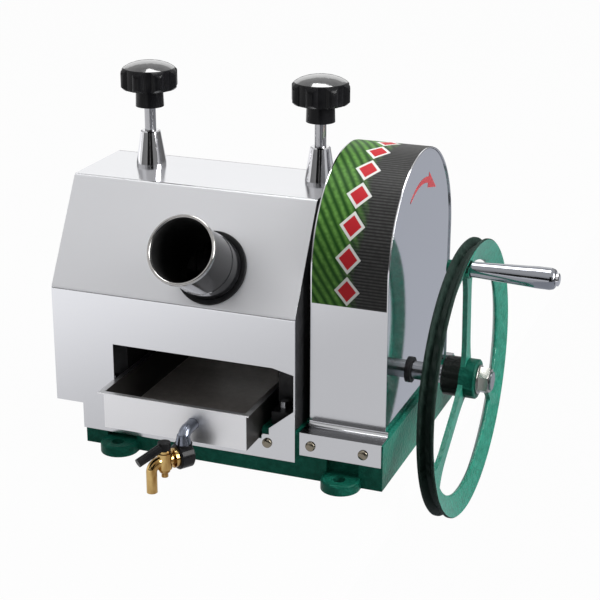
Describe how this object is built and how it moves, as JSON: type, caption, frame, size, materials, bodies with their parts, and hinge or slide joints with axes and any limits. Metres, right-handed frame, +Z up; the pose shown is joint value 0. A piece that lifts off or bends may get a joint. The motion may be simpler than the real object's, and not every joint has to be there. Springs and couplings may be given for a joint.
{
  "type": "hand cranked cane press",
  "caption": "Bench press with geared rollers in a folded steel case, a slanted feed tube, a flywheel crank, pressure knobs and a pull-out juice tray with a tap.",
  "frame": {"origin": "on the bench, midway between the four foot holes", "axes": "+X towards the crank wheel, +Y to the back, +Z up"},
  "size_m": [0.5127, 0.391, 0.4416],
  "materials": {
    "green_casting": "green hammered enamel on cast iron",
    "polished_sheet": "polished stainless sheet",
    "chrome_fittings": "bright chrome",
    "machined_steel": "turned steel",
    "gear_iron": "greased cast iron",
    "bronze_bush": "plain bronze",
    "black_plastic": "glossy black moulding",
    "tap_brass": "polished brass",
    "black_rubber": "black rubber",
    "dark_collar": "dark flange ring"
  },
  "bodies": {
    "frame": {"base_casting": "green_casting", "left_side_frame": "gear_iron", "right_side_frame": "gear_iron", "cap_bars": "gear_iron", "tie_rods": "machined_steel", "tie_rod_nuts": "machined_steel", "roller_bushes": "bronze_bush", "crank_bush": "bronze_bush", "outboard_pedestal": "green_casting", "pedestal_bush": "bronze_bush", "turn_plate": "gear_iron", "frame_bolts": "machined_steel", "case_shell": "polished_sheet", "case_left_end": "polished_sheet", "case_right_end": "polished_sheet", "feed_tube": "polished_sheet", "feed_collar": "dark_collar", "knob_cones": "chrome_fittings", "gear_housing": "polished_sheet", "housing_side_plate": "polished_sheet", "housing_inner_plate": "polished_sheet", "shaft_seal": "black_rubber", "cover_screws": "chrome_fittings"},
    "top_carriage": {"bearing_blocks": "gear_iron", "top_bushes": "bronze_bush"},
    "left_adjuster": {"left_screw": "chrome_fittings", "left_knob": "black_plastic"},
    "right_adjuster": {"right_screw": "chrome_fittings", "right_knob": "black_plastic"},
    "top_roll": {"top_roller": "machined_steel", "top_shaft": "machined_steel", "bull_gear": "gear_iron", "top_roller_gear": "gear_iron"},
    "front_roll": {"front_roller": "machined_steel", "front_shaft": "machined_steel", "front_roller_gear": "gear_iron"},
    "rear_roll": {"rear_roller": "machined_steel", "rear_shaft": "machined_steel", "rear_roller_gear": "gear_iron"},
    "crank": {"crank_shaft": "machined_steel", "drive_pinion": "gear_iron", "crank_wheel": "green_casting", "wheel_washer": "chrome_fittings", "wheel_nut": "chrome_fittings", "grip_spindle": "chrome_fittings"},
    "grip": {"hand_grip": "chrome_fittings"},
    "tray": {"juice_tray": "polished_sheet", "tap_pipe": "machined_steel", "tap_locknut": "machined_steel", "tap_body": "black_plastic", "tap_spout": "tap_brass"},
    "tap_key": {"tap_plug": "tap_brass", "tap_lever": "black_plastic"}
  },
  "joints": [
    {"name": "crank_spin", "type": "hinge", "parent": "frame", "child": "crank", "pos_m": [0.2, -0.024, 0.09034], "axis": [1, 0, 0], "continuous": true},
    {"name": "grip_spin", "type": "hinge", "parent": "crank", "child": "grip", "pos_m": [0.25, -0.05345, 0.21789], "axis": [1, 0, 0], "continuous": true},
    {"name": "carriage_lift", "type": "slide", "parent": "frame", "child": "top_carriage", "axis": [0, 0, 1], "range_m": [0, 0.00175]},
    {"name": "left_knob_turn", "type": "hinge", "parent": "top_carriage", "child": "left_adjuster", "pos_m": [-0.1395, -0.008, 0.36], "axis": [0, 0, 1], "range_deg": [0, 360]},
    {"name": "right_knob_turn", "type": "hinge", "parent": "top_carriage", "child": "right_adjuster", "pos_m": [0.0523, -0.008, 0.36], "axis": [0, 0, 1], "range_deg": [0, 360]},
    {"name": "top_roll_spin", "type": "hinge", "parent": "top_carriage", "child": "top_roll", "pos_m": [0, -0.008, 0.185], "axis": [1, 0, 0], "continuous": true},
    {"name": "front_roll_spin", "type": "hinge", "parent": "frame", "child": "front_roll", "pos_m": [0, -0.053, 0.12376], "axis": [1, 0, 0], "continuous": true},
    {"name": "rear_roll_spin", "type": "hinge", "parent": "frame", "child": "rear_roll", "pos_m": [0, 0.037, 0.12376], "axis": [1, 0, 0], "continuous": true},
    {"name": "tray_slide", "type": "slide", "parent": "frame", "child": "tray", "axis": [0, -1, 0], "range_m": [0, 0.15]},
    {"name": "tap_turn", "type": "hinge", "parent": "tray", "child": "tap_key", "pos_m": [-0.0363, -0.20724, 0.0344], "axis": [0, 0, 1], "range_deg": [0, 90]}
  ],
  "couplings": [
    {"joint": "top_roll_spin", "follows": "crank_spin", "ratio": -0.33333},
    {"joint": "front_roll_spin", "follows": "crank_spin", "ratio": 0.33333},
    {"joint": "rear_roll_spin", "follows": "crank_spin", "ratio": 0.33333},
    {"joint": "left_knob_turn", "follows": "carriage_lift", "rad_per_m": 3590.4},
    {"joint": "right_knob_turn", "follows": "carriage_lift", "rad_per_m": 3590.4}
  ]
}
